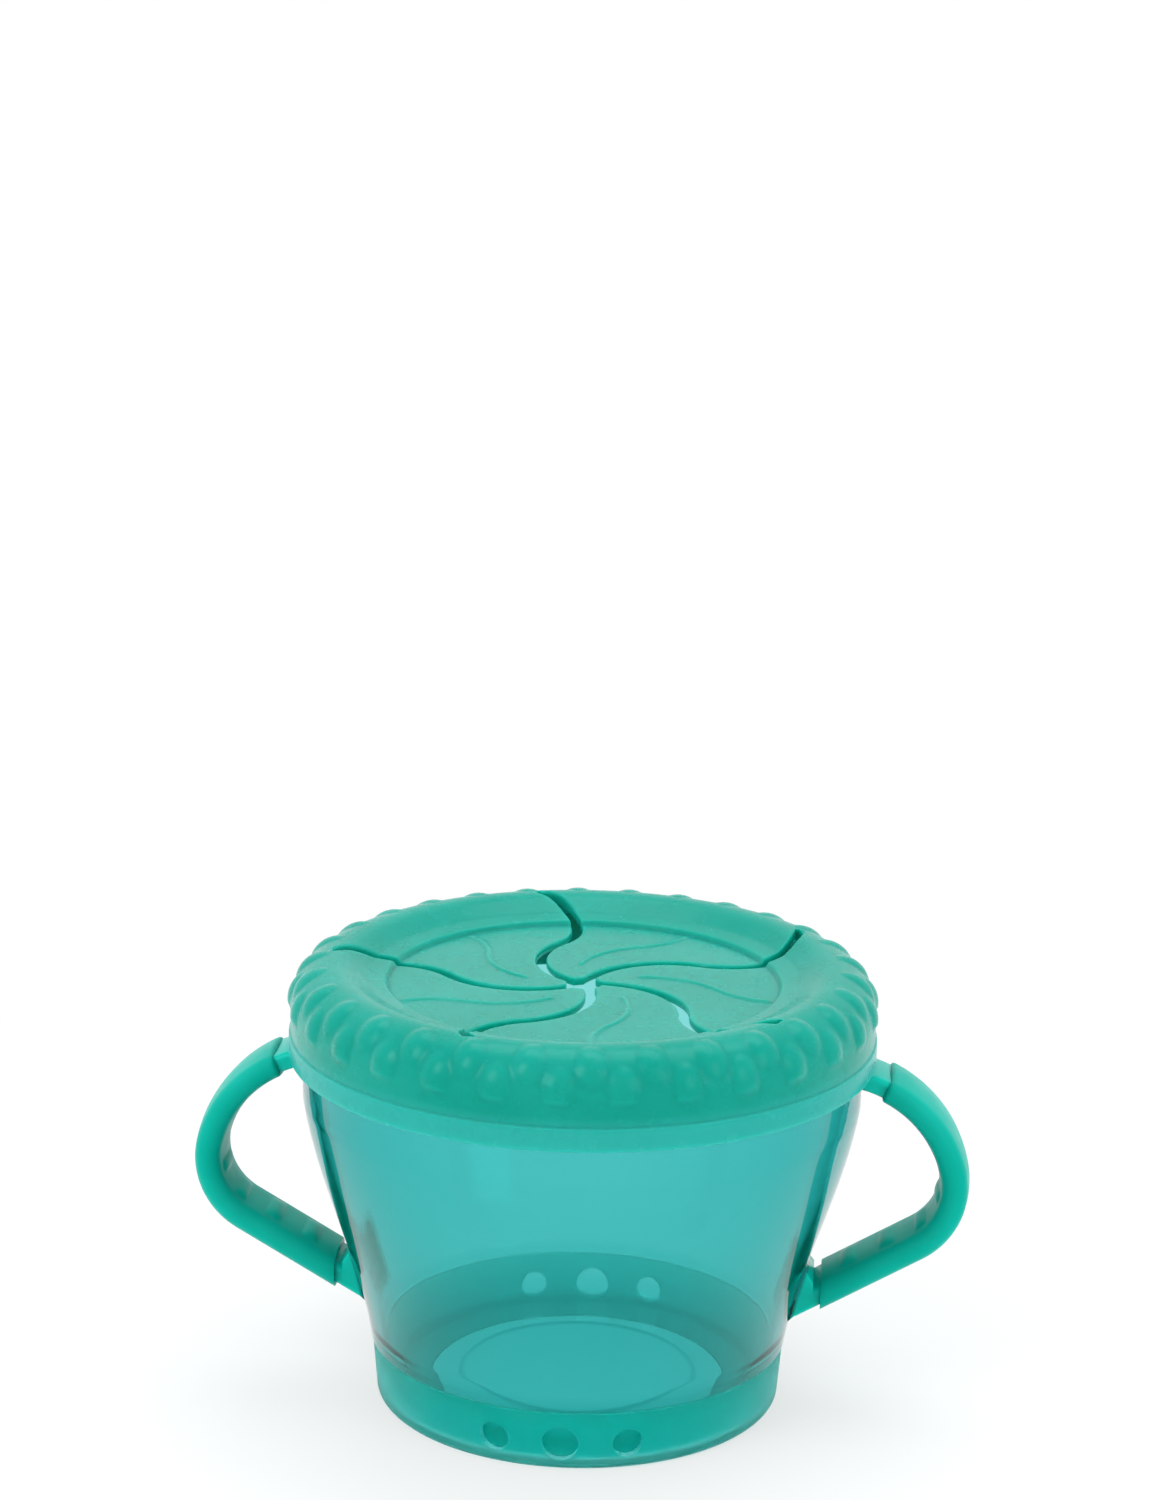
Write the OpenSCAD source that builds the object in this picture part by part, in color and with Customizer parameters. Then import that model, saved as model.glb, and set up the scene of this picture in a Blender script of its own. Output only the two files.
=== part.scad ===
// Toddler snack container: a two-handled cup with a soft lid whose slits let a hand in.
// Millimetres. +Z is up, the handles lie along X, the front faces -Y.
// The origin is the centre of the base, on the table.

/* [Cup] */
// Height of the rim above the table
rim_z = 68.4; // [62:0.2:78]
// Outer radius of the straight collar under the lid
collar_r = 45.4; // [43:0.1:48]
// Length of the straight collar, from the rim down
collar_h = 16.8; // [14:0.2:20]
// Outer radius of the wall just above the base band
waist_r = 34.2; // [32:0.1:37]
// How much narrower the band is at the table than at its top
foot_in = 1; // [0.4:0.1:2]
// Thickness of the wall
wall_t = 1.8; // [1.2:0.1:2.4]
// Thickness of the floor
floor_t = 2; // [1.4:0.1:3]
// How far the bead at the rim stands out from the collar
bead_out = 0.5; // [0.2:0.1:0.9]
// Height of the bead at the rim
bead_h = 2; // [1.2:0.1:3]
// Radius of the ring embossed in the floor
floor_ring_r = 19.2; // [10:0.2:22]
// Width of the ring embossed in the floor
floor_ring_w = 0.9; // [0.5:0.1:2]
// Height of the ring embossed in the floor
floor_ring_up = 0.4; // [0.2:0.1:0.8]

/* [Base band] */
// Height of the soft band round the base
band_h = 10; // [8:0.2:12]
// Thickness of the band on the wall
band_t = 1.2; // [0.8:0.1:1.6]
// Thickness of the band where it turns in under the cup
band_foot_t = 1; // [0.6:0.1:1.6]
// How far the band turns in under the cup
band_lip_w = 8.9; // [3:0.1:12]
// Diameter of the outer windows in the band
window_d = 4.8; // [3:0.1:6]
// Diameter of the middle window in the band
window_mid_d = 5.8; // [4:0.1:7]
// Angle between two windows
window_pitch = 18.5; // [14:0.5:24]
// Height of the windows' centres above the table
window_z = 4.6; // [4.2:0.1:5.4]

/* [Handles] */
// Distance from the cup's axis to the outside of a grip
reach = 63.4; // [60:0.2:68]
// Width of the handle core
core_w = 10.2; // [8:0.2:10.6]
// Thickness of the handle core
core_t = 3; // [2:0.1:3.4]
// Width of the soft grip
grip_w = 12.8; // [12.4:0.2:16]
// Thickness of the soft grip
grip_t = 4.9; // [4.7:0.1:6]
// Thickness of the soft grip at its upper end, under the lid
grip_top_t = 4.5; // [4.4:0.1:5.2]
// Rounding of the grip's long edges
grip_edge_r = 2.1; // [0.8:0.1:2.1]
// Radius of the handle's upper bow, at the core's middle
bow_r = 20.6; // [19:0.1:22]
// Radius of the handle's lower turn, at the core's middle
turn_r = 11.8; // [10:0.1:13]
// How far the handle's middle lies below the lid's edge, where it leaves the collar
neck_drop = 1.7; // [1.6:0.1:3]
// Angle at which the bow runs into the turn
turn_start = 14; // [5:1:20]
// Slope of the handle's straight lower arm
arm_slope = 30.4; // [26:0.2:34]
// Length of the bare neck between the collar and the grip
neck_l = 3.9; // [2.5:0.1:5]
// Gap between the wall and the grip's lower end
grip_end_gap = 3.6; // [2:0.1:5]
// How far the gusset under the handle reaches below the middle of the grip's end
gusset_down = 5.6; // [3:0.1:7]
// How far the gusset reaches up the wall above the lower arm
gusset_up = 7; // [4:0.5:9]
// How far the gusset's face is set back from the grip's end
gusset_back = 1.2; // [0.2:0.1:2]
// Step from the grip's surfaces down to the gusset
gusset_step = 0.7; // [0.3:0.1:1]

/* [Lid] */
// How far the skirt reaches below the rim
skirt_h = 10; // [8:0.2:11]
// Thickness of the skirt
skirt_t = 1.4; // [1:0.1:2]
// Height of the lip along the skirt's lower edge
lip_h = 4; // [2:0.2:5]
// How far the lip stands out from the wall above it
lip_out = 0.3; // [0.1:0.1:0.6]
// Height of the crest above the rim
crest_up = 4.9; // [4:0.1:6]
// Radius of the quilted shoulder, from the lid's side up to the crest
shoulder_r = 6.8; // [6:0.1:8]
// Width of the slope between the crest and the ledge round the disc
slope_w = 5.5; // [5:0.1:7]
// Width of the ledge round the disc
ledge_w = 3.6; // [3:0.1:4.5]
// Depth of the disc below the crest
recess = 3.4; // [2.6:0.1:4]
// Thickness of the soft disc and its flaps
disc_t = 1.4; // [1:0.1:1.8]
// Number of lobes round the quilted shoulder
lobes = 30; // [20:2:36]
// Radius of one lobe
lobe_r = 5; // [4:0.1:6]
// How far a lobe stands out
lobe_up = 0.6; // [0.3:0.1:0.8]
// Radius at the crest, where the shoulder turns down to the disc
slope_r = 6; // [4:0.5:8]
// Angle of the slope from the crest down to the ledge
slope_a = 27; // [22:1:30]
// Height of the step round the disc
step_h = 0.8; // [0.4:0.1:1.2]

/* [Flaps] */
// Number of slits, and of flaps between them
flaps = 5; // [5:1:5]
// Width of a slit
slit_w = 1.7; // [1.4:0.1:2.2]
// Radius of the opening where the slits meet
star_r = 2.8; // [2.4:0.1:3.4]
// Radius of a slit's outer bow, as a share of its inner bow
slit_share = 0.852; // [0.8:0.002:0.9]
// Angle through which a slit's inner bow turns
slit_turn = 97.6; // [94:0.2:101]
// Angle through which a slit's outer bow turns back
slit_back = 97; // [92:0.5:102]
// Distance from the lid's axis to the inner end of a rib
rib_start_r = 10; // [8:0.5:14]
// Gap between a rib and the bending line
rib_gap = 0.8; // [0.5:0.1:2]
// Width of the rib on a flap
rib_w = 0.8; // [0.5:0.1:1.2]
// Height of the rib on a flap
rib_up = 0.3; // [0.2:0.1:0.5]

/* [Clearances] */
// Gap between the lid's skirt and the bead
lid_gap = 0.3; // [0.2:0.05:0.5]
// Gap between the rim and the lid's seat
seat_gap = 0.1; // [0.05:0.05:0.3]
// Gap at a flap's bending line
hinge_gap = 0.2; // [0.15:0.05:0.4]
// Gap between a soft moulding and the hard part that it is bonded to
bond_gap = 0.05; // [0.02:0.01:0.1]

/* [Hidden] */
$fn = 96;
eps = 0.01;
far = 200;

cup_color = "#59C2BD";
grip_color = "#12A088";
lid_color = "#3DBBA8";

// Small roundings and chamfers
base_fillet = 1.5;
band_fillet = 1.2;
inner_corner_r = 3;
rim_edge = 0.4;
band_edge = 0.3;
lid_edge = 0.5;

// How much thicker the lid's crown is than its skirt
crown_extra = 0.2;

// Heights and radii on the cup
cup_base_z = band_foot_t + bond_gap;
floor_z = cup_base_z + floor_t;
collar_z = rim_z - collar_h;
bead_r = collar_r + bead_out;
bore_r = collar_r - wall_t;
foot_r = waist_r - foot_in;

// Lid sizes that follow the rim
skin = skirt_t + crown_extra;
skirt_in_r = bead_r + lid_gap;
lip_r = skirt_in_r + skirt_t;
side_r = lip_r - lip_out;
edge_z = rim_z - skirt_h;
seat_z = rim_z + seat_gap;
seat_in_r = bore_r - lid_gap;
crest_z = rim_z + crest_up;
crest_r = side_r - shoulder_r;
ledge_r = crest_r - slope_w;
disc_r = ledge_r - ledge_w;
shoulder_z = crest_z - shoulder_r;
disc_z = crest_z - recess;
disc_low_z = disc_z - disc_t;
slope_top = [crest_r - slope_r * sin(slope_a), crest_z - slope_r * (1 - cos(slope_a))];
slope_low_z = slope_top[1] - (slope_top[0] - ledge_r) * tan(slope_a);

// Rows of lobes on the shoulder, as [angle up the shoulder, shift by a share of a lobe]
lobe_rows = [[50, 0], [12, 0.5]];

// Bending lines of the flaps: half-round knuckles in a five-sided window
hinge_z = disc_z - disc_t / 2;
knuckle_r = disc_t / 2;
window_r = disc_r * cos(180 / flaps);
hinge_r = window_r - knuckle_r - hinge_gap;

// Slits: an inner bow from the axis and an outer bow the other way, tangent to it
slit_pitch = 360 / flaps;
in_start = 243.5;
star_share = 0.7;
in_end = in_start - slit_turn;
out_start = in_end - 180;
slit_end = out_start + slit_back;
function along(a) = [cos(a), sin(a)];
slit_reach = norm((1 + slit_share) * along(in_end) - along(in_start) + slit_share * along(slit_end));
slit_in_r = crest_r / slit_reach;
slit_out_r = slit_share * slit_in_r;
in_c = -slit_in_r * along(in_start);
out_c = in_c + (slit_in_r + slit_out_r) * along(in_end);

// Angle on the outer bow of its point that lies d from the axis
function bow_angle(d) = atan2(-out_c[1], -out_c[0])
    + acos((norm(out_c) ^ 2 + slit_out_r ^ 2 - d ^ 2) / (2 * norm(out_c) * slit_out_r));

// Angle on the inner bow of its point that lies d from the axis
function inner_angle(d) = in_start - 2 * asin(d / 2 / slit_in_r);

slit_from = inner_angle(star_r * star_share);
window_corner = out_c + slit_out_r * along(bow_angle(disc_r));
vertex_a = atan2(window_corner[1], window_corner[0]);
hinge_a = vertex_a + slit_pitch / 2;

// Handle layout, in the XZ plane
turn_x = reach - grip_t / 2 - turn_r;
bow_x = turn_x - (bow_r - turn_r) * cos(turn_start);
bow_c = [bow_x, edge_z - neck_drop - sqrt(bow_r ^ 2 - (collar_r - bow_x) ^ 2)];
turn_c = bow_c + (bow_r - turn_r) * along(turn_start);
arm_start = turn_c + turn_r * [sin(arm_slope), -cos(arm_slope)];
grip_start = acos((collar_r + neck_l - bow_c[0]) / bow_r);
neck_end = 100;
bow_steps = 14;
turn_steps = 16;

// Outer radius of the wall between the band and the collar: a line blended with an S curve
function wall_r(z) =
    let (u = (z - band_h) / (collar_z - band_h), s = 3 * u * u - 2 * u * u * u)
    waist_r + (collar_r - waist_r) * (u + s) / 2;

// Height of the lower arm's middle at a distance x from the cup's axis
function arm_z(x) = arm_start[1] - (arm_start[0] - x) * tan(arm_slope);

// Distance x at which the lower arm's middle is out by a gap from the wall
function arm_meets(gap, x, tries = 6) =
    tries == 0 ? x : arm_meets(gap, wall_r(arm_z(x)) + gap, tries - 1);
grip_end_x = arm_meets(grip_end_gap, waist_r);
arm_end_x = arm_meets(-wall_t / 2, waist_r);

function arc(c, r, a0, a1, n = 12, first = 0) =
    [for (i = [first : n]) let (a = a0 + (a1 - a0) * i / n) c + r * [cos(a), sin(a)]];

function turned(points, a) =
    [for (p = points) [p[0] * cos(a) - p[1] * sin(a), p[0] * sin(a) + p[1] * cos(a)]];

function reversed(points) = [for (i = [len(points) - 1 : -1 : 0]) points[i]];

// Side of a slit, d to the left of its middle line, along its two bows
function slit_side(d) = concat(
    arc(in_c, slit_in_r + d, slit_from, in_end, 14),
    arc(out_c, slit_out_r - d, out_start, slit_end, 14, 1));

// ---------------------------------------------------------------- cup

wall_steps = 14;
wall_z = [for (i = [0 : wall_steps]) band_h + (collar_z - band_h) * i / wall_steps];

module cup_outside() {
    band_top_r = waist_r - band_t;
    band_foot_r = foot_r - band_t;
    rotate_extrude() polygon(concat(
        [[0, cup_base_z]],
        arc([band_foot_r - base_fillet, cup_base_z + base_fillet], base_fillet, -90, 0, 4),
        [[band_top_r, band_h]],
        [for (z = wall_z) [wall_r(z), z]],
        [[collar_r, rim_z - bead_h - bead_out]],
        [[bead_r, rim_z - bead_h], [bead_r, rim_z - bead_out]],
        [[collar_r, rim_z], [0, rim_z]]));
}

module cup_inside() {
    low_r = foot_r - band_t - wall_t;
    rotate_extrude() polygon(concat(
        [[0, floor_z]],
        arc([low_r - inner_corner_r, floor_z + inner_corner_r], inner_corner_r, -90, 0, 6),
        [for (z = wall_z) if (z > band_h) [wall_r(z) - wall_t, z]],
        [[bore_r, rim_z - rim_edge], [bore_r + rim_edge, rim_z + eps], [0, rim_z + eps]]));
}

// One side of the handle's loop, d outside the core's middle line, from the neck to the wall
function loop_side(d) = concat(
    arc(bow_c, bow_r + d, neck_end, turn_start, 20),
    arc(turn_c, turn_r + d, turn_start, arm_slope - 90, turn_steps, 1),
    [[arm_end_x, arm_z(arm_end_x)] + d * [sin(arm_slope), -cos(arm_slope)]]);

module handle_core() {
    rotate([90, 0, 0]) linear_extrude(core_w, center = true)
        polygon(concat(loop_side(core_t / 2), reversed(loop_side(-core_t / 2))));
    gusset();
}

// The flare that carries the lower arm down the wall
module gusset() {
    face_x = grip_end_x - gusset_back;
    mid_z = arm_z(grip_end_x);
    low_z = max(mid_z - gusset_down, band_h + band_edge);
    rise = grip_t / 2 / cos(arm_slope) - gusset_step;
    top_z = mid_z + gusset_up;
    rotate([90, 0, 0]) linear_extrude(core_w, center = true)
        polygon([[wall_r(low_z) - wall_t / 2, low_z], [face_x, mid_z - rise],
                 [face_x, mid_z + rise], [wall_r(top_z) - wall_t / 2, top_z],
                 [wall_r(low_z) - wall_t, mid_z]]);
}

module cup() {
    color(cup_color) {
        difference() {
            union() {
                cup_outside();
                handle_core();
                mirror([1, 0, 0]) handle_core();
            }
            cup_inside();
        }
        translate([0, 0, floor_z - eps]) linear_extrude(floor_ring_up + eps) difference() {
            circle(r = floor_ring_r + floor_ring_w / 2);
            circle(r = floor_ring_r - floor_ring_w / 2);
        }
    }
}

// ---------------------------------------------------------------- base band

module base_band() {
    in_low = foot_r - band_t + bond_gap;
    in_top = waist_r - band_t + bond_gap;
    lip_in_r = foot_r - band_lip_w;
    cut_h = 6;
    color(grip_color) difference() {
        rotate_extrude() polygon(concat(
            [[lip_in_r, 0]],
            arc([foot_r - band_fillet, band_fillet], band_fillet, -90, 0, 4),
            [[waist_r - band_edge, band_h - 2 * band_edge], [waist_r - 2 * band_edge, band_h - bond_gap]],
            [[in_top, band_h - bond_gap]],
            reversed(arc([in_low - base_fillet, band_foot_t + base_fillet], base_fillet, -90, 0, 4)),
            [[lip_in_r, band_foot_t]]));
        for (side = [0, 180], i = [-1 : 1])
            rotate([0, 0, side + i * window_pitch]) translate([0, -foot_r + cut_h / 2, window_z])
                rotate([90, 0, 0]) cylinder(d = i == 0 ? window_mid_d : window_d, h = cut_h, $fn = 48);
    }
}

// ---------------------------------------------------------------- grips

// Corners of a grip's ring: each is an arc of the outer edge and one corner of the core's slot
ring_arc = 3;
ring_out = 4 * (ring_arc + 1);
ring_len = ring_out + 4;

function corner_sign(i) = [i == 0 || i == 3 ? 1 : -1, i < 2 ? 1 : -1];

// Points [across the loop, along Y] of one ring, for a grip of thickness t
function ring_points(t) = concat(
    [for (i = [0 : 3]) let (c = corner_sign(i)) each arc(
        [c[0] * (t / 2 - grip_edge_r), c[1] * (grip_w / 2 - grip_edge_r)],
        grip_edge_r, i * 90, i * 90 + 90, ring_arc)],
    [for (i = [0 : 3]) let (c = corner_sign(i))
        [c[0] * (core_t / 2 + bond_gap), c[1] * (core_w / 2 + bond_gap)]]);

// Rings along the loop as [middle, direction angle, thickness]
function thickness_at(a) = grip_top_t
    + (grip_t - grip_top_t) * (1 - cos(180 * (grip_start - a) / (grip_start - turn_start))) / 2;
grip_rings = concat(
    [for (i = [0 : bow_steps - 1]) let (a = grip_start + (turn_start - grip_start) * i / bow_steps)
        [bow_c + bow_r * [cos(a), sin(a)], a, thickness_at(a)]],
    [for (i = [0 : turn_steps]) let (a = turn_start + (arm_slope - 90 - turn_start) * i / turn_steps)
        [turn_c + turn_r * [cos(a), sin(a)], a, grip_t]]);

function ring_at(ring) = let (c = cos(ring[1]), s = sin(ring[1]))
    [for (p = ring_points(ring[2])) [ring[0][0] + p[0] * c, p[1], ring[0][1] + p[0] * s]];

// The last ring, carried down the arm to the upright end face
function end_ring(ring) = [for (p = ring_at(ring)) let (run = (p[0] - grip_end_x) / cos(arm_slope))
    [grip_end_x, p[1], p[2] - run * sin(arm_slope)]];

module grip_right() {
    all_rings = concat([for (r = grip_rings) ring_at(r)], [end_ring(grip_rings[len(grip_rings) - 1])]);
    last = len(all_rings) - 1;
    outer = [for (k = [0 : last - 1], i = [0 : ring_out - 1])
        let (a = k * ring_len + i, b = k * ring_len + (i + 1) % ring_out)
        each [[a, b, b + ring_len], [a, b + ring_len, a + ring_len]]];
    inner = [for (k = [0 : last - 1], i = [0 : 3])
        let (a = k * ring_len + ring_out + i, b = k * ring_len + ring_out + (i + 1) % 4)
        each [[b, a, a + ring_len], [b, a + ring_len, b + ring_len]]];
    cap = [for (i = [0 : 3]) let (c = ring_out + i, d = ring_out + (i + 1) % 4,
                                  first = i * (ring_arc + 1), next = (first + ring_arc + 1) % ring_out)
        each concat([for (j = [0 : ring_arc - 1]) [c, first + j + 1, first + j]],
                    [[c, next, first + ring_arc], [c, d, next]])];
    end = [for (f = cap) [f[0], f[2], f[1]] + last * ring_len * [1, 1, 1]];
    color(grip_color) polyhedron([for (r = all_rings) each r], concat(outer, inner, cap, end), 2);
}

module grip_left() {
    mirror([1, 0, 0]) grip_right();
}

// ---------------------------------------------------------------- lid

// Outline of the lid: lip, shoulder, crest, slope and disc, then back along the underside
module lid_profile() {
    rotate_extrude() polygon(concat(
        [[skirt_in_r, edge_z + lid_edge], [skirt_in_r + lid_edge, edge_z], [lip_r - lid_edge, edge_z]],
        [[lip_r, edge_z + lid_edge], [lip_r, edge_z + lip_h - lip_out], [side_r, edge_z + lip_h]],
        arc([crest_r, shoulder_z], shoulder_r, 0, 90, 12),
        arc([crest_r, crest_z - slope_r], slope_r, 90, 90 + slope_a, 4, 1),
        [[ledge_r, slope_low_z], [disc_r + step_h, disc_z + step_h], [disc_r, disc_z], [0, disc_z]],
        [[0, disc_low_z], [disc_r, disc_low_z], [ledge_r, slope_low_z - skin]],
        [[slope_top[0], slope_top[1] - skin], [crest_r, crest_z - skin]],
        [[seat_in_r - lid_edge, seat_z + skin], [seat_in_r, seat_z], [collar_r, seat_z]],
        [[skirt_in_r, seat_z - (skirt_in_r - collar_r)]]));
}

module quilted_lobes() {
    out = shoulder_r + lobe_up - lobe_r;
    for (row = lobe_rows, i = [0 : lobes - 1])
        rotate([0, 0, (i + row[1]) * 360 / lobes])
            translate([crest_r + out * cos(row[0]), 0, shoulder_z + out * sin(row[0])])
                rotate([90, 0, 0]) sphere(r = lobe_r);
}

// What is taken off the lobes' inner sides: all within a line that runs inside the lid's wall
module lobe_trim() {
    rotate_extrude() polygon([
        [0, 0], [side_r - skirt_t / 2, 0], [side_r - skirt_t / 2, seat_z + skin / 2],
        [bore_r + skin / 2, seat_z + skin / 2], [crest_r, crest_z - skin / 2], [0, crest_z - skin / 2]]);
}

module slits() {
    tip = out_c + slit_out_r * along(slit_end);
    tip_steps = 8;
    translate([0, 0, disc_low_z - skin]) for (k = [0 : flaps - 1]) rotate([0, 0, k * slit_pitch])
        linear_extrude(far) polygon(concat(
            slit_side(slit_w / 2),
            [for (i = [1 : tip_steps - 1]) let (a = slit_end + 180 * (1 - i / tip_steps))
                tip + slit_w / 2 * along(a)],
            reversed(slit_side(-slit_w / 2))));
}

// The five-sided window that the flaps fill
module flap_window() {
    translate([0, 0, disc_low_z - skin]) rotate([0, 0, vertex_a])
        cylinder(r = disc_r, h = far, $fn = flaps);
}

// A raised rib between two sides that follow the bows
module rib(left, right) {
    translate([0, 0, disc_z - eps]) linear_extrude(rib_up + eps) polygon(concat(left, reversed(right)));
}

// The rib's part on the fixed disc, outside the bending line
function disc_rib_side(d) =
    arc(out_c, slit_out_r - d, bow_angle(window_r + rib_gap), bow_angle(disc_r - rib_gap / 2), 4);

// The rib's part on a flap, inside the bending line
function flap_rib_side(d) = concat(
    arc(in_c, slit_in_r + d, inner_angle(rib_start_r), in_end, 8),
    arc(out_c, slit_out_r - d, out_start, bow_angle(hinge_r - knuckle_r - rib_gap), 2, 1));

module lid() {
    color(lid_color) {
        difference() {
            union() {
                lid_profile();
                difference() {
                    quilted_lobes();
                    lobe_trim();
                }
            }
            slits();
            flap_window();
        }
        for (k = [0 : flaps - 1]) rotate([0, 0, (k + 0.5) * slit_pitch])
            rib(disc_rib_side(rib_w / 2), disc_rib_side(-rib_w / 2));
    }
}

// ---------------------------------------------------------------- flaps

module flap(k) {
    color(lid_color) rotate([0, 0, k * slit_pitch]) {
        difference() {
            intersection() {
                translate([0, 0, disc_low_z - eps]) linear_extrude(disc_t + 2 * eps) polygon(concat(
                    slit_side(slit_w / 2), reversed(turned(slit_side(-slit_w / 2), slit_pitch))));
                rotate([0, 0, hinge_a]) {
                    translate([hinge_r - far, -far / 2, disc_low_z]) cube([far, far, disc_t]);
                    translate([hinge_r, 0, hinge_z]) rotate([90, 0, 0])
                        cylinder(r = knuckle_r, h = far, center = true, $fn = 32);
                }
            }
            translate([0, 0, disc_low_z - eps]) cylinder(r = star_r, h = disc_t + 2 * eps, $fn = 48);
        }
        rotate([0, 0, slit_pitch / 2]) rib(flap_rib_side(rib_w / 2), flap_rib_side(-rib_w / 2));
    }
}

cup();
base_band();
grip_left();
grip_right();
lid();
flap(0);  // flap_1
flap(1);  // flap_2
flap(2);  // flap_3
flap(3);  // flap_4
flap(4);  // flap_5
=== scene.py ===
"""A toddler snack container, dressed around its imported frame.

The cup is a clear glossy moulding, the band and grips are soft overmoulds, and the lid is a soft
ring with five petals between S-shaped slits. Sizes are in millimetres until a mesh is made.
"""
import math

import bmesh
import bpy
import numpy as np
from mathutils import Matrix, Vector


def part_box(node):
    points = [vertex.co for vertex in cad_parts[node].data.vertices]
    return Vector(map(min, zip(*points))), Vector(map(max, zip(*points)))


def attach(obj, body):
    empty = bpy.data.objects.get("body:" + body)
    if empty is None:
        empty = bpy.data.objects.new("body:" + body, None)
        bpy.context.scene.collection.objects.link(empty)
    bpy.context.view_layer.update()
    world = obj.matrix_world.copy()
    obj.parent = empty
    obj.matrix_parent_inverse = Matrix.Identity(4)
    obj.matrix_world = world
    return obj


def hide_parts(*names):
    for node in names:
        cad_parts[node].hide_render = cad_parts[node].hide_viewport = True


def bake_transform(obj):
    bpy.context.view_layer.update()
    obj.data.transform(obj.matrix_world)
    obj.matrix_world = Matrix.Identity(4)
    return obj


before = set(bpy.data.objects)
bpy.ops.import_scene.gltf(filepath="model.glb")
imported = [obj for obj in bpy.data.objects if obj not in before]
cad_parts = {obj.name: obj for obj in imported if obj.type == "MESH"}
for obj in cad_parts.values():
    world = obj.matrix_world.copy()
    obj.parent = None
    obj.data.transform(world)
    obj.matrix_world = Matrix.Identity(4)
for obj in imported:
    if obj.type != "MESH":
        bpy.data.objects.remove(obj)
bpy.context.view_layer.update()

MM = 0.001

# ------------------------------------------------------------------ sizes, from the frame


def box_mm(node):
    """Lowest and highest corner of a CAD node, in millimetres."""
    low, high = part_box(node)
    return Vector(low) / MM, Vector(high) / MM


CUP_LOW, CUP_HIGH = box_mm("cup")
BAND_HIGH = box_mm("base_band")[1]
LID_LOW = box_mm("lid")[0]
GRIP_LOW, GRIP_HIGH = box_mm("grip_right")

# Faces round a body of revolution
ROUND_STEPS = 192

# Cup: the collar is its straight part under the lid, the waist its narrowest part over the band
RIM_Z = CUP_HIGH.z
RIM_ROUND = 0.45
BEAD_OUT = 0.5
BEAD_H = 2.0
BEAD_ROUND = 0.3
COLLAR_R = CUP_HIGH.y - BEAD_OUT
COLLAR_H = 16.8
COLLAR_Z = RIM_Z - COLLAR_H
WALL_T = 1.8
FLOOR_T = 2.0
LEDGE_OUT = 0.3
LEDGE_ROUND = 0.12
WAIST_R = BAND_HIGH.x + LEDGE_OUT
FOOT_TAPER = 1.0
FOOT_R = WAIST_R - FOOT_TAPER
BAND_H = 10.0
BAND_T = 1.2
CUP_FILLET = 1.5
INNER_CORNER = 3.0
FLOOR_RING_R = 19.2
FLOOR_RING_W = 1.2
FLOOR_RING_UP = 0.36

# Band, with its windows' pitch in degrees
BAND_FOOT_T = 1.0
BAND_LIP_W = 8.9
BAND_LIP_EDGE = 0.4
BAND_FILLET = 1.2
BAND_TOP_ROUND = 0.35
BAND_EDGE = 0.3
WINDOW_SIZES = (4.8, 5.8, 4.8)
WINDOW_PITCH = 18.5
WINDOW_Z = 4.6
WINDOW_REACH = 3.0
BOND_GAP = 0.05

# Handles, in the XZ plane: a wide bow, a tighter turn and a straight arm, with angles in degrees
CORE_W = 10.2
CORE_T = 3.0
CORE_EDGE = 0.9
GRIP_W = GRIP_HIGH.y - GRIP_LOW.y
GRIP_T = 4.9
GRIP_TOP_T = 4.5
NECK_L = 3.9
NECK_DROP = 1.7
BOW_R = 20.6
TURN_R = 11.8
TURN_START = 14.0
ARM_SLOPE = 30.4
TURN_X = GRIP_HIGH.x - GRIP_T / 2 - TURN_R
GRIP_END_X = GRIP_LOW.x
GUSSET_DOWN = 5.6
GUSSET_UP = 7.0
GUSSET_BACK = 1.2
GUSSET_STEP = 0.7
GUSSET_EDGE = 0.6
GUSSET_SAG_LOW = 0.3
GUSSET_SAG_TOP = -0.5

# Lid: a flat disc, a ledge and a slope up to the crest, a quilted shoulder and a skirt with a lip
FLAP_TOP_UP = 0.3
DISC_T = 1.4
DISC_Z = box_mm("flap_1")[1].z - FLAP_TOP_UP
DISC_R = 31.4
LEDGE_R = 35.0
LEDGE_UP = 0.8
LEDGE_SHARE = 0.22
CREST_R = 40.5
CREST_UP = 3.4
CREST_Z = DISC_Z + CREST_UP
SLOPE_R = 6.0
SLOPE_A = 27.0
SKIN = 1.6
SKIRT_T = 1.4
EDGE_Z = LID_LOW.z
LIP_H = 4.0
LIP_OUT = 0.3
LIP_ROUND = 0.5
SKIRT_ROUND = 0.4
LID_GAP = 0.3
SEAT_GAP = 0.1
SEAT_Z = RIM_Z + SEAT_GAP
SKIRT_IN_R = COLLAR_R + BEAD_OUT + LID_GAP
LIP_R = SKIRT_IN_R + SKIRT_T
SIDE_R = LIP_R - LIP_OUT
SHOULDER_R = SIDE_R - CREST_R
SHOULDER_Z = CREST_Z - SHOULDER_R
LID_BORE_R = COLLAR_R - WALL_T - LID_GAP
BORE_CHAMFER = 0.5

# Lobes of the shoulder, in rows of (degrees up the shoulder, shift in pitches)
LOBES = 30
LOBE_R = 5.0
LOBE_UP = 0.6
LOBE_BLEND = 0.12
LOBE_ROWS = ((50.0, 0.0), (12.0, 0.5))

# Slits: an inner bow through the axis, then an outer bow the other way, with angles in degrees
SLITS = 5
SLIT_PITCH = 360.0 / SLITS
SLIT_W = 1.7
STAR_R = 2.8
SLIT_IN_R = 14.563
SLIT_OUT_R = 12.408
IN_START = 243.5
IN_SWEEP = 97.6
IN_END = IN_START - IN_SWEEP
RIB_W = 1.3
RIB_UP = 0.28
RIB_START_R = 10.0
HINGE_Z = DISC_Z - DISC_T / 2

# ------------------------------------------------------------------ curves


def unit(a):
    """The direction at angle a, in degrees."""
    return np.array([math.cos(math.radians(a)), math.sin(math.radians(a))])


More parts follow.
